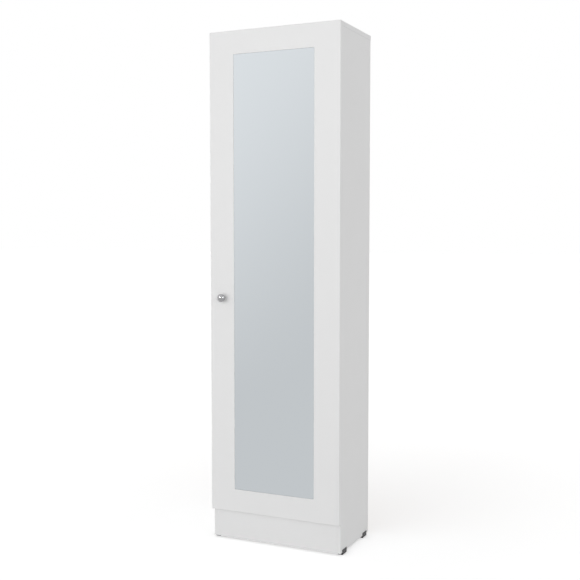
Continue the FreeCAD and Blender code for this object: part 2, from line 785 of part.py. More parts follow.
def hinge_arm(index):
    """A goose-neck strip from the pin, out of the cup and back along the side, with folded cheeks."""
    body = new_body(f"hinge_arm_{index + 1}")
    path = Drawing(body, "Z").bend("arm_pin_x", "arm_pin_y", "elbow_x", "elbow_y", "arm_back_x", "arm_end")
    strip = Drawing(body, "X", "arm_pin_x").rectangle(
        "arm_pin_y - arm_thick / 2", "-arm_wide / 2", "arm_pin_y + arm_thick / 2", "arm_wide / 2")
    doc.recompute()
    pipe = body.newObject("PartDesign::AdditivePipe", body.Label + "_strip")
    pipe.Profile = strip.sketch
    pipe.Spine = (path.sketch, ["Edge1", "Edge2", "Edge3"])
    doc.recompute()
    Drawing(body, "Z", "-arm_wide / 2").circle("arm_pin_x", "arm_pin_y", "eye_radius").pad(1, "arm_wide")
    bore = [("arm_pin_x", "arm_pin_y")]
    holes(body, "Z", "-arm_wide / 2", 1, "arm_wide", "pin_radius + pin_play", bore)
    for start in ("-arm_wide / 2", "arm_wide / 2 - arm_cheek"):
        cheek = Drawing(body, "Z", start).rectangle(
            "-arm_offset - arm_thick / 2", "arm_cheek_start", "-arm_cheek_gap", "arm_end")
        cheek.pad(1, "arm_cheek")
    screws = [("arm_screw_front", "0"), ("arm_screw_rear", "0")]
    holes(body, "X", "-plate_high", -1, "arm_thick", "arm_screw_radius + seat", screws)
    place(body, "inner_half", "carcass_y", hinge_z(index))
    return keep(body)


def hinge_plate(index):
    """The mounting plate: a ridge under the arm and two round-ended wings screwed to the side."""
    body = new_body(f"hinge_plate_{index + 1}")
    ridge = Drawing(body, "Z", "-plate_half").rectangle("-plate_high", "plate_front", "0", "arm_end")
    ridge.pad(1, "2 * plate_half")
    wing = Drawing(body, "X")
    wing.rectangle("wing_y - wing_radius", "-plate_screw_out", "wing_y + wing_radius", "plate_screw_out")
    wing.pad(-1, "wing_thick")
    wings = [("wing_y", "-plate_screw_out"), ("wing_y", "plate_screw_out")]
    ends = Drawing(body, "X")
    for y, z in wings:
        ends.circle(y, z, "wing_radius")
    ends.pad(-1, "wing_thick")
    holes(body, "X", "-wing_thick", 1, "wing_thick", SCREW_HOLE, wings)
    screws = [("arm_screw_front", "0"), ("arm_screw_rear", "0")]
    holes(body, "X", "-plate_high", 1, "plate_high", "arm_screw_radius + seat", screws)
    place(body, "inner_half", "carcass_y", hinge_z(index))
    return keep(body)


def hinges():
    for maker in (hinge_plate, hinge_arm, hinge_cup):
        for index in HINGES:
            maker(index)
    pin = turned_body("pin", [
        ("0", "pin_half"), ("pin_radius", "pin_half"), ("pin_radius", "-pin_half"), ("0", "-pin_half")])
    group("hinge_pins", pin, [("pin_x", "pin_y", hinge_z(index), DOWN) for index in HINGES])
    outer = doc.addObject("Part::Cylinder", "spring_outer")
    bind(outer, {"Radius": "spring_radius + spring_thick", "Height": "spring_wide"})
    inner = doc.addObject("Part::Cylinder", "spring_inner")
    bind(inner, {"Radius": "spring_radius", "Height": "spring_wide"})
    bow = doc.addObject("Part::Cut", "spring_bow")
    bow.Base = outer
    bow.Tool = inner
    window = doc.addObject("Part::Box", "spring_window")
    rise = "spring_rise + spring_thick + overrun"
    bind(window, {"Length": "2 * spring_half", "Width": rise, "Height": "spring_wide"})
    place(window, "-spring_half", "spring_radius - spring_rise", "0")
    leaf = doc.addObject("Part::Common", "spring_leaf")
    leaf.Base = bow
    leaf.Tool = window
    centre_y = "door_back_y - cup_deep - spring_radius + spring_rise"
    spots = [("cup_x", centre_y, f"{hinge_z(index)} - spring_wide / 2", DOWN) for index in HINGES]
    group("hinge_springs", leaf, spots)
    wood_screw = screw_section("screw_radius", "screw_long", "screw_head_radius", "screw_head_high")
    cup_screw = turned_body("cup_screw", wood_screw)
    plate_screw = turned_body("plate_screw", wood_screw)
    arm_screw = turned_body("arm_screw", screw_section(
        "arm_screw_radius", "arm_thick + plate_high", "arm_screw_head_radius", "arm_screw_head_high"))
    cup_spots, plate_spots, arm_spots = [], [], []
    for index in HINGES:
        level = hinge_z(index)
        for way in ("-", "+"):
            ear_z, wing_z = f"{level} {way} ear_out", f"{level} {way} plate_screw_out"
            cup_spots.append(("cup_x - ear_back", "door_back_y + flange_thick", ear_z, FORWARD))
            plate_spots.append(("inner_half - wing_thick", "carcass_y + wing_y", wing_z, RIGHT))
        for along in ("arm_screw_front", "arm_screw_rear"):
            arm_spots.append(("inner_half - plate_high - arm_thick", f"carcass_y + {along}", level, RIGHT))
    group("hinge_cup_screws", cup_screw, cup_spots)
    group("hinge_plate_screws", plate_screw, plate_spots)
    group("hinge_arm_screws", arm_screw, arm_spots)


def check_and_write():
    """Stops on any failed object, then writes each piece to its own file."""
    doc.recompute()
    failed = [thing.Label for thing in doc.Objects if "Invalid" in thing.State or "Error" in thing.State]
    for piece in nodes:
        shape = piece.Shape
        if shape.isNull() or not shape.isValid() or not shape.Solids:
            failed.append(piece.Label)
    if failed:
        raise RuntimeError("failed: " + ", ".join(failed))
    os.makedirs("parts", exist_ok=True)
    for piece in nodes:
        piece.Shape.exportStep(f"parts/{piece.Label}.step")
        print(piece.Label, len(piece.Shape.Solids), "solids")


sizes, places = write_sheets()
carcass()
back()
connectors()
feet()
door_panel()
mirror()
knob()
bumpers()
hinges()
check_and_write()
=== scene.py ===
# %% [markdown]
# A broom cupboard with a mirrored door.
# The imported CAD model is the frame: boards, door, hinges and fittings, each a named piece that already
# moves with the carcass or with the door. Everything here is put on that frame, in metres, so a new
# piece goes where the frame says and nothing is fitted by eye.

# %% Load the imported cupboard
import json
import math

import bpy
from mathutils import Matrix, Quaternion, Vector

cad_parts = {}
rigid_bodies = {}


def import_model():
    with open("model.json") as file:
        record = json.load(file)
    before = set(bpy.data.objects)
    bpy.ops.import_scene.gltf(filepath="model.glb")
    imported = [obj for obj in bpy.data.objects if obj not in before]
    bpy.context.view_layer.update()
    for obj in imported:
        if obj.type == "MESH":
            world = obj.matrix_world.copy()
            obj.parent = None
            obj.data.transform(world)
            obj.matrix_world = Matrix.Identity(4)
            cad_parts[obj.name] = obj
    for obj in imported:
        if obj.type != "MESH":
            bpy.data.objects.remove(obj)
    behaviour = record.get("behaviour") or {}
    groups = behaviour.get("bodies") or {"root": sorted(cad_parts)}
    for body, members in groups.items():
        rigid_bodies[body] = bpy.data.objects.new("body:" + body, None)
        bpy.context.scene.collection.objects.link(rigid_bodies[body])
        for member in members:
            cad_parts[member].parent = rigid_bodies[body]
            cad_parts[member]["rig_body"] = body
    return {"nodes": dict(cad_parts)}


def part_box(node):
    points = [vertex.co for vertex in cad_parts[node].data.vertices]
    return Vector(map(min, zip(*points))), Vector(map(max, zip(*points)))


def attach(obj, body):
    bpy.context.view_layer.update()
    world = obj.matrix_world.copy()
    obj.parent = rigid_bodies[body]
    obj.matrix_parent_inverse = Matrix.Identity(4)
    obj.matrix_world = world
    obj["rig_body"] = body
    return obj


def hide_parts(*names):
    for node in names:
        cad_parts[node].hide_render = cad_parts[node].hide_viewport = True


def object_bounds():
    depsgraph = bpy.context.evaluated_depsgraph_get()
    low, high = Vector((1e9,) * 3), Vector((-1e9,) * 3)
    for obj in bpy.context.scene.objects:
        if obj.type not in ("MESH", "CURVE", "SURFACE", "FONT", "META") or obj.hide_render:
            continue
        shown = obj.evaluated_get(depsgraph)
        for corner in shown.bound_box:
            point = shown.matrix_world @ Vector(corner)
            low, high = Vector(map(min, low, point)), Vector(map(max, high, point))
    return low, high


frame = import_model()
cad_low, cad_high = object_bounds()
cupboard = frame["nodes"]
print("cupboard", [round(side, 4) for side in cad_high - cad_low], "in", len(cupboard), "pieces")

# %% [markdown]
# The camera stands to the right of the door at chest height, about three metres off. Its place and its
# lens were worked out from the corners of the boards in the picture. A shifted lens would keep the
# uprights quite parallel, but it would push the cupboard out of every other view, so the framing comes
# from a slight downward tilt.

# %% Camera
CAMERA_PLACE = (1.3844, -2.9658, 1.0900)
CAMERA_TURN, CAMERA_TILT = math.radians(24.969), math.radians(-3.634)
LENS_MM, SENSOR_MM = 58.05, 36

lens = bpy.data.cameras.new("camera")
lens.lens = LENS_MM
lens.sensor_width = SENSOR_MM
camera = bpy.data.objects.new("camera", lens)
camera.location = CAMERA_PLACE
camera.rotation_euler = (math.pi / 2 + CAMERA_TILT, 0, CAMERA_TURN)
bpy.context.scene.collection.objects.link(camera)
bpy.context.scene.camera = camera
bpy.context.scene.view_settings.view_transform = "Standard"
print("camera at", CAMERA_PLACE, "with a lens of", LENS_MM, "mm")

# %% [markdown]
# A finish is a tree of nodes. Wiring each one by hand is slow to read, so two small classes do it. The
# first is a Wire, which is one output socket. A sum written with wires adds the Math nodes that work it
# out.

# %% Wires
class Wire:
    """One output socket. Operators on wires add Math nodes, and a | b is the larger of the two."""

    def __init__(self, tree, socket):
        self.tree, self.socket = tree, socket

    def maths(self, operation, *values):
        return self.tree.node("Math", {"operation": operation}, dict(enumerate(values)))

    def __add__(self, other):
        return self.maths("ADD", self, other)

    def __sub__(self, other):
        return self.maths("SUBTRACT", self, other)

    def __rsub__(self, other):
        return self.maths("SUBTRACT", other, self)

    def __mul__(self, other):
        return self.maths("MULTIPLY", self, other)

    def __gt__(self, other):
        return self.maths("GREATER_THAN", self, other)

    def __lt__(self, other):
        return self.maths("LESS_THAN", self, other)

    def __or__(self, other):
        return self.maths("MAXIMUM", self, other)

    def __abs__(self):
        return self.maths("ABSOLUTE", self)

    __radd__, __rmul__ = __add__, __mul__


# %% [markdown]
# The second is a Tree. It adds any other node: its kind, its settings, and what goes into its sockets. A
# wire is linked to its socket, and a plain number or colour is set on the socket itself.

# %% Trees
class Tree:
    """A node tree that is built up node by node."""

    def __init__(self, owner):
        owner.use_nodes = True
        self.owner, self.tree = owner, owner.node_tree
        self.tree.nodes.clear()

    def node(self, kind, settings=None, sockets=None, output=0):
        """Add one node, and give back one of its outputs."""
        made = self.tree.nodes.new("ShaderNode" + kind)
        for name, value in (settings or {}).items():
            setattr(made, name, value)
        for name, value in (sockets or {}).items():
            if isinstance(value, Wire):
                self.tree.links.new(value.socket, made.inputs[name])
            else:
                made.inputs[name].default_value = value
        return Wire(self, made.outputs[output] if made.outputs else None)

    def part(self, vector, axis):
        """One of the three numbers of a vector."""
        return self.node("SeparateXYZ", sockets={0: vector}, output=axis)

    def ramp(self, value, start, end, shape="LINEAR"):
        """Lead a value from one pair of input and output to another, and keep it level beyond them."""
        return self.node("MapRange", {"interpolation_type": shape}, {
            "Value": value, "From Min": start[0], "From Max": end[0],
            "To Min": start[1], "To Max": end[1]})

    def looked_at(self):
        """One where a ray comes from the camera, from a shiny surface or through glass."""
        camera_ray = self.node("LightPath", output="Is Camera Ray")
        shiny_ray = self.node("LightPath", output="Is Glossy Ray")
        glass_ray = self.node("LightPath", output="Is Transmission Ray")
        return camera_ray | shiny_ray | glass_ray


# %% [markdown]
# The studio is white all round. What the camera and shiny surfaces see of it is white at a strength of
# one, by the Light Path node, while the light that falls on the cupboard stays at a plain level. That
# light could come from a picture of a room, but it is worked out from the direction alone, so no file is
# needed. It is stronger near the horizon and in front, as between white walls, so the underside of the
# door throws only a weak shadow on the plinth.

# %% Surroundings
SKY_LIGHT, HORIZON_LIGHT, FRONT_LIGHT = 0.42, 1.00, 0.11

studio = bpy.data.worlds.new("studio")
bpy.context.scene.world = studio
around = Tree(studio)
direction = around.node("TexCoord", output="Generated")
level = 1 - (around.part(direction, "Z") | 0.0)
ahead = (0 - around.part(direction, "Y")) | 0.0
strength = SKY_LIGHT + HORIZON_LIGHT * level * level + FRONT_LIGHT * ahead
wall_light = around.node("Background", sockets={"Color": strength})
white_air = around.node("Background", sockets={"Color": (1, 1, 1, 1)})
air = around.node("MixShader", sockets={0: around.looked_at(), 1: wall_light, 2: white_air})
around.node("OutputWorld", sockets={"Surface": air})
print("studio light", SKY_LIGHT, "overhead and", SKY_LIGHT + HORIZON_LIGHT, "at the horizon")

# %% [markdown]
# A curved backdrop would hide the horizon from one side only, so the floor is a plain pale plane. Where
# it is looked at, a little white is added, more with distance, and it runs into the white behind it. It is
# added to the shaded floor, so the soft shadow of the cupboard still shows. The two lifts below are pairs:
# so many metres away, so much white.

# %% Floor
FLOOR_PALE, FLOOR_WIDE = 0.86, 80
LIFT_NEAR, LIFT_FAR = (0.6, 0.43), (2.2, 0.51)


def start_piece(name, primitive, **shape):
    """Deselect all, add a primitive and name it."""
    bpy.ops.object.select_all(action="DESELECT")
    primitive(**shape)
    bpy.context.object.name = name
    return bpy.context.object


floor = start_piece("floor", bpy.ops.mesh.primitive_plane_add, size=FLOOR_WIDE)
pale = Tree(bpy.data.materials.new("pale_floor"))
spot = pale.node("TexCoord", output="Object")
away = pale.node("VectorMath", {"operation": "LENGTH"}, {0: spot}, output="Value")
lift = pale.node("Emission", sockets={"Color": pale.ramp(away, LIFT_NEAR, LIFT_FAR)})
ground = pale.node("BsdfDiffuse", sockets={"Color": (FLOOR_PALE, FLOOR_PALE, FLOOR_PALE, 1)})
lifted = pale.node("AddShader", sockets={0: ground, 1: lift})
shown = pale.node("MixShader", sockets={0: pale.looked_at(), 1: ground, 2: lifted})
pale.node("OutputMaterial", sockets={"Surface": shown})
floor.data.materials.append(pale.owner)
print("floor", floor.dimensions[:])

# %% [markdown]
# A mirror shows what stands in front of it. In a bare white room it would be white too and vanish, so a
# photographer rolls out a pale sweep of card in front: flat on the floor, up in a curve, and then a wall.
# It could be drawn along a curve, but a plane is quicker: its far edge is extruded upwards, and the fold
# is then bevelled round.

# %% Sweep of card for the mirror
SWEEP_NEAR, SWEEP_FAR, SWEEP_WIDE = -0.13, -4.0, 16.0
SWEEP_UP, SWEEP_HIGH = 0.004, 5.0
SWEEP_BEND, BEND_STEPS = 0.8, 12
TINY = 1e-5


def pick(piece, kind, test):
    """Select the edges or faces of a piece whose middle passes a test, and stay in edit mode."""
    bpy.ops.object.mode_set(mode="EDIT")
    bpy.ops.mesh.select_mode(type=kind)
    bpy.ops.mesh.select_all(action="DESELECT")
    bpy.ops.object.mode_set(mode="OBJECT")
    for part in piece.data.edges if kind == "EDGE" else piece.data.polygons:
        corners = [piece.data.vertices[corner].co for corner in part.vertices]
        part.select = test(sum(corners, Vector()) / len(corners))
    bpy.ops.object.mode_set(mode="EDIT")


sweep = start_piece("mirror_sweep", bpy.ops.mesh.primitive_plane_add, size=1)
sweep.scale = (SWEEP_WIDE, SWEEP_NEAR - SWEEP_FAR, 1)
sweep.location = (0, (SWEEP_NEAR + SWEEP_FAR) / 2, SWEEP_UP)
bpy.ops.object.transform_apply(location=True, rotation=False, scale=True)
pick(sweep, "EDGE", lambda middle: middle.y < SWEEP_FAR + TINY)
bpy.ops.mesh.extrude_region_move(TRANSFORM_OT_translate={"value": (0, 0, SWEEP_HIGH)})
pick(sweep, "EDGE", lambda middle: middle.y < SWEEP_FAR + TINY and middle.z < SWEEP_UP + TINY)
bpy.ops.mesh.bevel(offset=SWEEP_BEND, segments=BEND_STEPS)
bpy.ops.object.mode_set(mode="OBJECT")
print("sweep", len(sweep.data.polygons), "faces")

# %% [markdown]
# The card grows lighter upwards and to the left, and so does the picture in the mirror. Its two ends are
# pairs: a height in metres, and how light the card is there. Only shiny surfaces see it, so it lights
# nothing else and hides nothing.

# %% Shade of the card
CARD_DARK, CARD_LIGHT = (-0.5, 0.745), (3.2, 0.985)
CARD_SLANT, CARD_MIDDLE = 0.95, -1.88

card = Tree(bpy.data.materials.new("pale_card"))
spot = card.node("TexCoord", output="Object")
slanted = card.part(spot, "Z") - CARD_SLANT * (card.part(spot, "X") - CARD_MIDDLE)
glow = card.node("Emission", sockets={"Color": card.ramp(slanted, CARD_DARK, CARD_LIGHT, "SMOOTHSTEP")})
card.node("OutputMaterial", sockets={"Surface": glow})
sweep.data.materials.append(card.owner)
for ray in ("camera", "diffuse", "shadow", "transmission", "volume_scatter"):
    setattr(sweep, "visible_" + ray, False)
print("card from", CARD_DARK[1], "to", CARD_LIGHT[1])

# %% [markdown]
# A large soft box on the left in front makes the door a little brighter than the side, and throws the
# soft shadow of the knob to the right. A small one on the right lifts the side. Both are kept out of the
# mirror, as a photographer would flag them. Two small lamps do the opposite: they light nothing that is
# dull, and give the knob its two sparks.

# %% Soft boxes and sparks


def square_lamp(name, place, size, watts, unseen_by):
    """A square lamp that faces the cupboard and is left out for one kind of ray."""
    light = bpy.data.lights.new(name, "AREA")
    light.shape = "SQUARE"
    light.size = size
    light.energy = watts
    lamp = bpy.data.objects.new(name, light)
    lamp.location = place
    aim = (cad_low + cad_high) / 2 - Vector(place)
    lamp.rotation_euler = aim.to_track_quat("-Z", "Y").to_euler()
    lamp.visible_camera = False
    setattr(lamp, "visible_" + unseen_by, False)
    bpy.context.scene.collection.objects.link(lamp)
    print(name, "at", place, watts, "W")


square_lamp("front_box", place=(-1.0, -3.4, 1.35), size=2.0, watts=21.8, unseen_by="glossy")
square_lamp("right_box", place=(3.6, -0.35, 1.8), size=0.7, watts=2.5, unseen_by="glossy")
square_lamp("front_spark", place=(-0.5, -2.6, 2.2), size=0.4, watts=24, unseen_by="diffuse")
square_lamp("right_spark", place=(3.6, -0.35, 2.6), size=0.5, watts=30, unseen_by="diffuse")

# %% [markdown]
# Each finish ends in one Principled shader. The class below starts a finish and closes it, and gives the
# patterns that most of them need: the place on the piece, noise at a size in millimetres, and a colour
# that wanders a little, because no real surface is one flat colour.

# %% Helpers for finishes
MM = 0.001


def shade(colour, share):
    """A colour made darker or paler by a share."""
    return tuple(share * part for part in colour)


class Finish(Tree):
    """A material that reads the place on its own piece, in metres."""

    def __init__(self, name):
        super().__init__(bpy.data.materials.new(name))
        self.place = self.node("TexCoord", output="Object")

    def along(self, axis):
        """How far along an axis the place lies, in metres."""
        return self.part(self.place, axis)

    def stretched(self, stretch):
        """The place with its axes scaled. A pattern on it is drawn out where the scale is small."""
        return self.node("Mapping", sockets={"Vector": self.place, "Scale": stretch})

    def grain(self, size_mm, detail=2, stretch=(1, 1, 1)):
        """Noise from 0 to 1 whose spots are about this many millimetres across."""
        return self.node("TexNoise", sockets={
            "Vector": self.stretched(stretch), "Scale": 1 / (size_mm * MM), "Detail": detail})

    def between(self, factor, first, second):
        """A mix of two colours, each one plain or a wire."""
        first, second = ((*tint, 1) if isinstance(tint, tuple) else tint for tint in (first, second))
        return self.node("Mix", {"data_type": "RGBA"}, {0: factor, 6: first, 7: second}, output=2)

    def mottled(self, colour, size_mm, dark_share, pale_share=1, detail=3):
        """A colour that wanders between two shades of itself."""
        return self.between(
            self.grain(size_mm, detail), shade(colour, dark_share), shade(colour, pale_share))

    def bump(self, height, depth_mm):
        """Let a pattern stand out as relief, this many millimetres high."""
        return self.node("Bump", sockets={"Height": height, "Distance": depth_mm * MM})

    def close(self, **sockets):
        """End in a Principled shader. Its socket Base Color is written base_color, and so on."""
        named = {name.replace("_", " ").title(): value for name, value in sockets.items()}
        shader = self.node("BsdfPrincipled", sockets=named, output="BSDF")
        self.node("OutputMaterial", sockets={"Surface": shader})
        print("finish", self.owner.name, len(self.tree.nodes), "nodes")
        return self.owner


finishes = {}

# %% [markdown]
# The boards are chipboard under white melamine paper, which has a fine pressed pebble and a soft sheen.
# Their cut edges at the rear, which nobody looks at, are left raw and show brown chips. Two materials
# could share a board, but a imported piece has only one slot, so one finish tells the raw edge by its place
# on the board. The fine dark line where the top lies on the sides is painted shade for the joint, found in
# the same way.

# %% Coated boards
WHITE = (0.80, 0.80, 0.80)
CLOUD_MM, PEBBLE_MM, PEBBLE_DEEP_MM = 90, 0.7, 0.02
COAT_ROUGH, PEBBLE_ROUGH, RAW_ROUGH = 0.50, 0.06, 0.3
CHIP_DARK, CHIP_PALE = (0.30, 0.18, 0.085), (0.56, 0.39, 0.22)
CHIPS_PER_METRE, CHIP_STRETCH = 700, (1, 1, 0.45)
HAIR = 0.2 * MM
# The seam line is painted shade: a thin band at this share of the white, where the top meets the sides.
SEAM_BELOW, SEAM_HALF, JOINT_SHADOW_SHARE = 0.6 * MM, 0.54 * MM, 0.80
side_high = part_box("right_side_panel")[1]
top_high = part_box("top_panel")[1]


def coated_board(name, rear_edge):
    """White paper on chips, raw at its rear edge, with a painted shadow line at the joint under the top."""
    board = Finish(name)
    pebble = board.grain(PEBBLE_MM, detail=3)
    paper = board.mottled(WHITE, CLOUD_MM, dark_share=0.985, pale_share=1.01)
    # Painted shade: a thin band just below the top of the sides is darkened, standing in for the shadow in
    # the joint.
    painted_joint_shadow = abs(board.along("Z") - (side_high.z - SEAM_BELOW)) < SEAM_HALF
    coat = board.between(painted_joint_shadow, paper, shade(WHITE, JOINT_SHADOW_SHARE))
    chips = board.node("TexVoronoi", sockets={
        "Vector": board.stretched(CHIP_STRETCH), "Scale": CHIPS_PER_METRE}, output="Color")
    tone = board.node("SeparateColor", sockets={0: chips})
    raw = board.along("Y") > rear_edge - HAIR
    finishes[name] = board.close(
        base_color=board.between(raw, coat, board.between(tone, CHIP_DARK, CHIP_PALE)),
        roughness=COAT_ROUGH + PEBBLE_ROUGH * pebble + RAW_ROUGH * raw,
        normal=board.bump(pebble + raw * tone, PEBBLE_DEEP_MM))


coated_board("white_board", side_high.y)
coated_board("top_board", top_high.y)

# %% [markdown]
# The door is smoother: fibreboard whose rounded edges are wrapped in one sheet of white foil. It has no
# raw edge and no pebble, only the slight orange peel of the pressed foil. That is far too shallow to be
# modelled, so a bump from noise carries it.

# %% Door foil
FOIL_CLOUD_MM, PEEL_MM, PEEL_DEEP_MM, PEEL_ROUGH = 110, 2.4, 0.02, 0.06

foil = Finish("door_board")
peel = foil.grain(PEEL_MM)
finishes["door_board"] = foil.close(
    base_color=foil.mottled(WHITE, FOIL_CLOUD_MM, dark_share=0.99, pale_share=1.01),
    roughness=COAT_ROUGH + PEEL_ROUGH * peel,
    normal=foil.bump(peel, PEEL_DEEP_MM))

# %% [markdown]
# The back is hardboard: coated white on the side that shows inside, and bare brown fibre behind. One
# finish has to serve both again, so the middle of the sheet's thickness divides them. The fibres are too
# many to draw one by one, so streaky noise stands for them, with larger patches over it.

# %% Back sheets
FIBRE_DARK, FIBRE_PALE = (0.16, 0.085, 0.042), (0.34, 0.20, 0.11)
FIBRE_MM, FIBRE_STRETCH, FIBRE_DEEP_MM = 1.2, (1, 1, 0.35), 0.015
PATCH_MM, PATCH_SHADE = 60, 0.96
SHEET_ROUGH, FIBRE_ROUGH = 0.45, 0.3
sheet_low, sheet_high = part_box("back_panel_lower")

sheet = Finish("back_sheet")
bare = sheet.along("Y") > (sheet_low.y + sheet_high.y) / 2
fibre = sheet.grain(FIBRE_MM, detail=6, stretch=FIBRE_STRETCH)
patch = sheet.grain(PATCH_MM, detail=3)
brown = sheet.between((fibre + patch) * 0.5, FIBRE_DARK, FIBRE_PALE)
coat = sheet.between(patch, shade(WHITE, PATCH_SHADE), WHITE)
finishes["back_sheet"] = sheet.close(
    base_color=sheet.between(bare, coat, brown),
    roughness=SHEET_ROUGH + FIBRE_ROUGH * bare,
    normal=sheet.bump(fibre, FIBRE_DEEP_MM))

# %% [markdown]
# The mirror is float glass with silver behind it. It could be clear glass over a silver sheet, but that
# shows every edge twice, so its front face is silver itself: a metal with a cool grey tint and hardly any
# roughness. The ground edge is a pale frosted green and the paint on the back is dull grey. The three are
# told apart by depth.

# %% Mirror glass
SILVER, GROUND_EDGE, BACK_PAINT = (0.715, 0.755, 0.785), (0.68, 0.74, 0.72), (0.20, 0.22, 0.23)
SILVER_ROUGH, EDGE_ROUGH, PAINT_ROUGH = 0.012, 0.35, 0.55
DUST_MM, DUST_ROUGH = 35, 0.012
mirror_low, mirror_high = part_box("mirror")

glass = Finish("mirror_glass")
depth = glass.along("Y")
silvered = depth < mirror_low.y + HAIR
painted = depth > mirror_high.y - HAIR
silver_rough = SILVER_ROUGH + DUST_ROUGH * glass.grain(DUST_MM, detail=5)
finishes["mirror_glass"] = glass.close(
    base_color=glass.between(painted, glass.between(silvered, GROUND_EDGE, SILVER), BACK_PAINT),
    metallic=silvered,
    roughness=EDGE_ROUGH + (PAINT_ROUGH - EDGE_ROUGH) * painted + silvered * (silver_rough - EDGE_ROUGH))

# %% [markdown]
# The small parts are metal and plastic. Plated steel is bright and finely scratched, zinc castings are
# dull and mottled, and moulded plastic has a faint relief from its mould. Each could be a tree of its own,
# but they differ only in numbers, so one helper makes the metals and one makes the plastics. On the knob
# the scratches run round it, as the lathe left them, because they change only along its axis.

# %% Metals and plastics
MOTTLE_MM, SCRATCH_MM = 6, 0.5
FLOW_MM, MOULD_MM, MOULD_ROUGH = 12, 0.4, 0.1


def metal(name, colour, rough, spread, scratch=(1, 1, 1), depth_mm=0.004):
    """A mottled metal whose scratches roughen it by up to the spread."""
    made = Finish(name)
    scratched = made.grain(SCRATCH_MM, detail=3, stretch=scratch)
    finishes[name] = made.close(
        base_color=made.mottled(colour, MOTTLE_MM, dark_share=0.86, detail=4), metallic=1.0,
        roughness=rough + spread * scratched, normal=made.bump(scratched, depth_mm))


def plastic(name, colour, rough, depth_mm=0.01):
    """A plastic with the faint relief of its mould."""
    made = Finish(name)
    mould = made.grain(MOULD_MM)
    finishes[name] = made.close(
        base_color=made.mottled(colour, FLOW_MM, dark_share=0.93),
        roughness=rough + MOULD_ROUGH * mould, normal=made.bump(mould, depth_mm))


metal("knob_metal", (0.47, 0.47, 0.48), rough=0.12, spread=0.06, scratch=(0, 1, 0), depth_mm=0.002)
metal("hinge_steel", (0.58, 0.57, 0.55), rough=0.22, spread=0.14, scratch=(1, 0.1, 1))
metal("steel", (0.52, 0.51, 0.49), rough=0.30, spread=0.15)
metal("zinc", (0.44, 0.45, 0.46), rough=0.42, spread=0.2, depth_mm=0.02)
plastic("white_plastic", (0.78, 0.78, 0.77), rough=0.38)
plastic("shoe_plastic", (0.015, 0.015, 0.016), rough=0.40)
plastic("foam_tape", (0.68, 0.68, 0.66), rough=0.85, depth_mm=0.08)
plastic("soft_dots", (0.70, 0.71, 0.70), rough=0.25)

# %% [markdown]
# The dowels between the boards are beech, whose fine grain runs along the dowel. Waves would look as even
# as a comb, so the grain is noise, stretched along that axis.

# %% Beech
BEECH_DARK, BEECH_PALE = (0.50, 0.33, 0.19), (0.68, 0.49, 0.31)
RING_MM, RING_STRETCH = 3, (0.2, 1, 1)
BEECH_ROUGH, RING_ROUGH = 0.6, 0.1

beech = Finish("beech")
ring = beech.grain(RING_MM, detail=4, stretch=RING_STRETCH)
finishes["beech"] = beech.close(
    base_color=beech.between(ring, BEECH_DARK, BEECH_PALE), roughness=BEECH_ROUGH + RING_ROUGH * ring)

# %% [markdown]
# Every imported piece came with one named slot, so its finish is a matter of looking the name up. Only the
# top panel differs: it reaches further back than the sides, so its raw rear edge lies elsewhere.

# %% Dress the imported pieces
slot_of = {}
for name, piece in cupboard.items():
    slot_of[name] = piece.material_slots[0].material.name.split(".")[0]
    piece.material_slots[0].material = finishes["top_board" if name == "top_panel" else slot_of[name]]
print("dressed", len(cupboard), "pieces in", len(finishes), "finishes")

# %% [markdown]
# A new piece that stands for a packed one takes over its body, its slot and its finish. All of them are
# handed over in the same way.

# %% Hand a new piece to the frame


def stand_in(piece, node):
    """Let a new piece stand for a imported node, on the same body and in the same finish."""
    piece.data.materials.clear()
    piece.data.materials.append(finishes[slot_of[node]])
    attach(piece, cupboard[node]["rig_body"])
    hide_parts(node)
    print(piece.name, "for", node, len(piece.data.polygons), "faces")


# %% [markdown]
# The knob is turned from one piece of metal: a flat foot with a rounded rim on the door, a neck that is
# drawn in, and a ball. Its outline is a row of rings, each so far out from the door and so wide. The foot
# and the neck have sizes of their own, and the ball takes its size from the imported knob.

# %% Outline of the knob
KNOB_FOOT, FOOT_RIM, FOOT_HIGH = 7.5 * MM, 1 * MM, 1.5 * MM
KNOB_NECK, NECK_REACH = 5.5 * MM, 2 * MM
RIM_STEPS, NECK_STEPS, BALL_STEPS = 4, 6, 26
POLE_SHARE = 0.25
QUARTER = math.pi / 2


def turns(first, last, steps):
    """The angles along a round stretch, both ends included."""
    return [first + (last - first) * step / steps for step in range(steps + 1)]


knob_low, knob_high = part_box("knob")
ball = (knob_high.z - knob_low.z) / 2
ball_out = knob_high.y - knob_low.y - ball
ball_start = -math.acos(KNOB_NECK / ball)
rim = FOOT_HIGH - FOOT_RIM
rim_end = KNOB_FOOT - rim
outline = []
for turn in turns(0, QUARTER, RIM_STEPS):
    outline.append((FOOT_RIM + rim * math.sin(turn), rim_end + rim * math.cos(turn)))
for turn in turns(0, QUARTER, NECK_STEPS)[1:]:
    outline.append((FOOT_HIGH + NECK_REACH * (1 - math.cos(turn)),
                    rim_end - (rim_end - KNOB_NECK) * math.sin(turn)))
for turn in turns(ball_start, QUARTER, BALL_STEPS)[:-1]:
    outline.append((ball_out + ball * math.sin(turn), ball * math.cos(turn)))
outline.append((ball_out + ball, POLE_SHARE * outline[-1][1]))
print("outline of the knob", len(outline), "rings")

# %% [markdown]
# The knob could be spun from that outline, but here it grows as on a lathe: a disc is extruded ring by
# ring away from the door, and each new ring is scaled to its radius. The last one closes in a point.

# %% Turned knob
KNOB_SIDES, KNOB_CREASE = 64, math.radians(40)

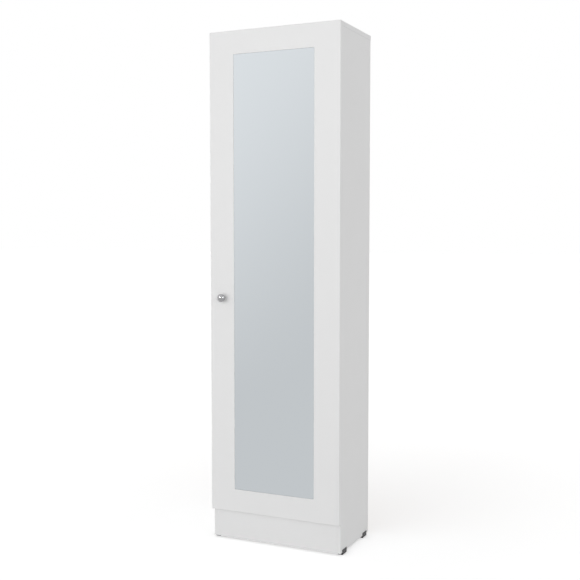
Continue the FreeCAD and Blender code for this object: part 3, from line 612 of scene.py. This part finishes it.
axis_x, axis_z = (knob_low.x + knob_high.x) / 2, (knob_low.z + knob_high.z) / 2
knob = start_piece(
    "turned_knob", bpy.ops.mesh.primitive_circle_add, vertices=KNOB_SIDES, radius=KNOB_FOOT,
    fill_type="NGON", location=(axis_x, knob_high.y, axis_z), rotation=(QUARTER, 0, 0))
bpy.ops.object.transform_apply(location=True, rotation=True, scale=False)
bpy.ops.object.mode_set(mode="EDIT")
bpy.ops.mesh.select_all(action="SELECT")
out, radius = 0, KNOB_FOOT
for next_out, next_radius in outline:
    bpy.ops.mesh.extrude_region_move(TRANSFORM_OT_translate={"value": (0, out - next_out, 0)})
    growth = next_radius / radius
    bpy.ops.transform.resize(
        value=(growth, 1, growth), center_override=(axis_x, knob_high.y - next_out, axis_z))
    out, radius = next_out, next_radius
bpy.ops.mesh.merge(type="CENTER")
bpy.ops.mesh.select_all(action="SELECT")
bpy.ops.mesh.normals_make_consistent(inside=False)
bpy.ops.object.mode_set(mode="OBJECT")
bpy.ops.object.shade_smooth_by_angle(angle=KNOB_CREASE)
stand_in(knob, "knob")

# %% [markdown]
# The hinges and the knob are held by cross-headed screws. A press makes the cross in a real head. The
# faces of a round head don't lie where a cross could be pushed in, so here it is cut out, and the cutter
# comes first: a cube with its four sides pulled out to a cross, which is then narrowed below.

# %% Cutter for the cross
CROSS_WIDE_SHARE, CROSS_LONG_SHARE = 0.30, 1.25
CROSS_DEEP_SHARE, CROSS_TAPER_SHARE = 0.6, 0.55


def cross_cutter(head_radius, head_high):
    """A cross that narrows downwards, half above the top of the head and half below it."""
    wide, deep = CROSS_WIDE_SHARE * head_radius, CROSS_DEEP_SHARE * head_high
    cutter = start_piece("cross_cutter", bpy.ops.mesh.primitive_cube_add, size=1)
    cutter.scale = (wide, wide, 2 * deep)
    cutter.location = (0, 0, head_high)
    bpy.ops.object.transform_apply(location=True, rotation=False, scale=True)
    longer = CROSS_LONG_SHARE / CROSS_WIDE_SHARE
    for axis, growth in ((0, (longer, 1, 1)), (1, (1, longer, 1))):
        pick(cutter, "FACE", lambda middle: abs(middle[axis]) > wide / 2 - TINY
             and abs(middle[1 - axis]) < TINY)
        bpy.ops.mesh.extrude_faces_indiv()
        bpy.ops.transform.resize(value=growth, center_override=(0, 0, head_high))
    pick(cutter, "FACE", lambda middle: middle.z < head_high - deep + TINY)
    narrow = (CROSS_TAPER_SHARE, CROSS_TAPER_SHARE, 1)
    bpy.ops.transform.resize(value=narrow, center_override=(0, 0, head_high - deep))
    bpy.ops.object.mode_set(mode="OBJECT")
    return cutter


# %% [markdown]
# All screws of one kind are alike, so one is modelled and copied. It stands on its tip: a cylinder for
# the head, its rim bevelled to a dome, and the shank extruded from its underside and drawn in at the tip.
# A Boolean then takes the cross away from the head.

# %% One cross-headed screw
SCREW_SIDES, DOME_STEPS, SCREW_CREASE = 32, 5, math.radians(35)
DOME_SHARE, TIP_SHARE, POINT_SHARE = 0.55, 0.3, 0.12


def select_only(*pieces):
    """Select these pieces and nothing else, with the first one active."""
    bpy.ops.object.select_all(action="DESELECT")
    for piece in pieces:
        piece.select_set(True)
    bpy.context.view_layer.objects.active = pieces[0]


def cross_screw(head_radius, head_high, shank_radius, shank_long):
    """A screw that stands head up, with the underside of its head at height zero."""
    screw = start_piece(
        "screw", bpy.ops.mesh.primitive_cylinder_add, vertices=SCREW_SIDES, radius=head_radius,
        depth=head_high, location=(0, 0, head_high / 2))
    bpy.ops.object.transform_apply(location=True, rotation=False, scale=False)
    pick(screw, "FACE", lambda middle: middle.z > head_high - TINY)
    bpy.ops.mesh.bevel(offset=DOME_SHARE * head_high, segments=DOME_STEPS)
    pick(screw, "FACE", lambda middle: middle.z < TINY)
    bpy.ops.mesh.inset(thickness=head_radius - shank_radius)
    tip = TIP_SHARE * shank_long
    for length in (shank_long - tip, tip):
        bpy.ops.mesh.extrude_region_move(TRANSFORM_OT_translate={"value": (0, 0, -length)})
    bpy.ops.transform.resize(value=(POINT_SHARE, POINT_SHARE, 1), center_override=(0, 0, -shank_long))
    bpy.ops.object.mode_set(mode="OBJECT")
    cutter = cross_cutter(head_radius, head_high)
    cut = screw.modifiers.new("cross", "BOOLEAN")
    cut.operation = "DIFFERENCE"
    cut.solver = "EXACT"
    cut.object = cutter
    select_only(screw)
    bpy.ops.object.modifier_apply(modifier=cut.name)
    bpy.data.objects.remove(cutter)
    bpy.ops.object.shade_smooth_by_angle(angle=SCREW_CREASE)
    print("screw", [round(side / MM, 2) for side in screw.dimensions], "mm")
    return screw


# %% [markdown]
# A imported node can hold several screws. Their places could be typed in, but they would be wrong as soon
# as the frame changes. So they are measured: a copy of the node is split into its loose parts, and the box
# of each is read.

# %% Find the screws


def solids_of(node):
    """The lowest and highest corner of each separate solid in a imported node."""
    select_only(cupboard[node])
    bpy.ops.object.duplicate()
    bpy.ops.object.mode_set(mode="EDIT")
    bpy.ops.mesh.select_all(action="SELECT")
    bpy.ops.mesh.remove_doubles(threshold=TINY)
    bpy.ops.mesh.separate(type="LOOSE")
    bpy.ops.object.mode_set(mode="OBJECT")
    corners = [[vertex.co for vertex in part.data.vertices] for part in bpy.context.selected_objects]
    boxes = [tuple(Vector(map(extreme, zip(*spots))) for extreme in (min, max)) for spots in corners]
    bpy.ops.object.delete()
    print(node, "holds", len(boxes))
    return sorted(boxes, key=lambda box: box[0][:])


# %% [markdown]
# A copy of the modelled screw is then turned and set in each box. Every cross is turned a little further
# than the last, since no two real screws stop at the same angle.

# %% Set the screws
SCREW_TURN = math.radians(37)


def set_screws(node, facing, head_high, shank_radius):
    """Put a cross-headed screw in place of each plain one of a node, heads facing this way."""
    facing = Vector(facing)
    boxes = solids_of(node)
    size = boxes[0][1] - boxes[0][0]
    long, thick = max(size), min(size)
    screw = cross_screw(thick / 2, head_high, shank_radius, long - head_high)
    copies = []
    for count, (low, high) in enumerate(boxes):
        select_only(screw)
        bpy.ops.object.duplicate()
        copy = bpy.context.object
        copy.location = (low + high) / 2 + facing * (long / 2 - head_high)
        turned = facing.to_track_quat("Z", "Y") @ Quaternion((0, 0, 1), SCREW_TURN * count)
        copy.rotation_euler = turned.to_euler()
        bpy.ops.object.transform_apply(location=True, rotation=True, scale=False)
        copies.append(copy)
    bpy.data.objects.remove(screw)
    select_only(*copies)
    if len(copies) > 1:
        bpy.ops.object.join()
    copies[0].name = f"cross_{node}"
    stand_in(copies[0], node)


set_screws("hinge_cup_screws", facing=(0, 1, 0), head_high=1.5 * MM, shank_radius=1.75 * MM)
set_screws("hinge_plate_screws", facing=(-1, 0, 0), head_high=1.5 * MM, shank_radius=1.75 * MM)
set_screws("hinge_arm_screws", facing=(-1, 0, 0), head_high=2 * MM, shank_radius=2 * MM)
set_screws("knob_screw", facing=(0, 1, 0), head_high=2.4 * MM, shank_radius=2 * MM)
